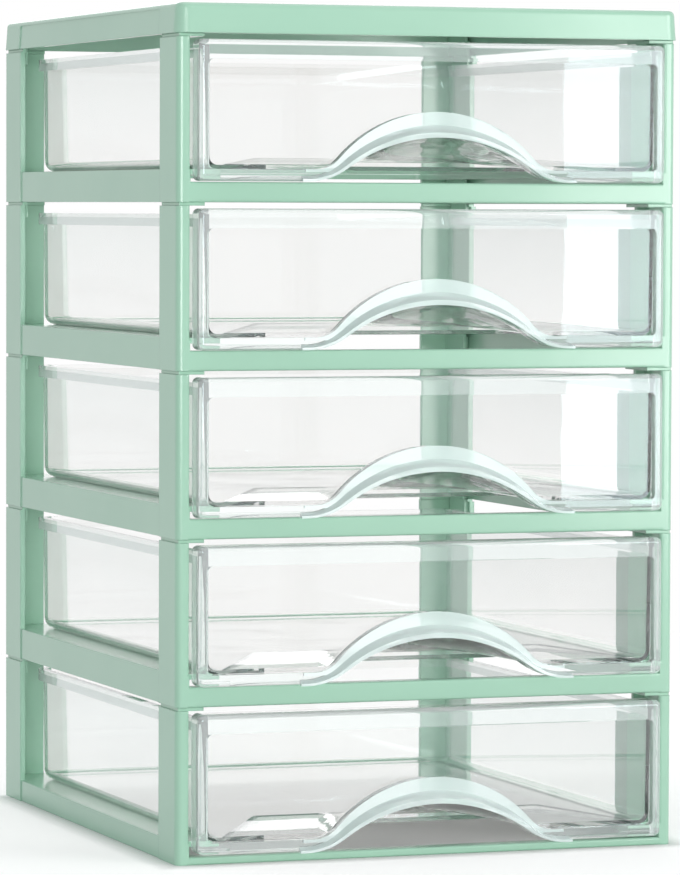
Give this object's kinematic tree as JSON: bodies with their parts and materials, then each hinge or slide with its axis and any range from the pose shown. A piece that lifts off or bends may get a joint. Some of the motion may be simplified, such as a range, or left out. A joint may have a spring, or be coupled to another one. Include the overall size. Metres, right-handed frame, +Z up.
{
  "type": "plastic drawer tower",
  "caption": "Desktop tower of open stacked frames with clear drawers that slide out, each pulled by an arched lip in its front.",
  "frame": {"origin": "middle of the footprint on the surface that the tower stands on", "axes": "+Z up, -Y out of the drawer fronts, +X to the right seen from the front"},
  "size_m": [0.1934, 0.2338, 0.3072],
  "materials": {
    "mint_plastic": "glossy injection moulded",
    "clear_plastic": "clear, polished"
  },
  "bodies": {
    "tower": {"base_frame": "mint_plastic", "tier_frame_2": "mint_plastic", "tier_frame_3": "mint_plastic", "tier_frame_4": "mint_plastic", "tier_frame_5": "mint_plastic", "top_cover": "mint_plastic"},
    "drawer_1": {"drawer_1": "clear_plastic"},
    "drawer_2": {"drawer_2": "clear_plastic"},
    "drawer_3": {"drawer_3": "clear_plastic"},
    "drawer_4": {"drawer_4": "clear_plastic"},
    "drawer_5": {"drawer_5": "clear_plastic"}
  },
  "joints": [
    {"name": "drawer_1_slide", "type": "slide", "parent": "tower", "child": "drawer_1", "axis": [0, -1, 0], "range_m": [0, 0.165]},
    {"name": "drawer_2_slide", "type": "slide", "parent": "tower", "child": "drawer_2", "axis": [0, -1, 0], "range_m": [0, 0.165]},
    {"name": "drawer_3_slide", "type": "slide", "parent": "tower", "child": "drawer_3", "axis": [0, -1, 0], "range_m": [0, 0.165]},
    {"name": "drawer_4_slide", "type": "slide", "parent": "tower", "child": "drawer_4", "axis": [0, -1, 0], "range_m": [0, 0.165]},
    {"name": "drawer_5_slide", "type": "slide", "parent": "tower", "child": "drawer_5", "axis": [0, -1, 0], "range_m": [0, 0.165]}
  ]
}
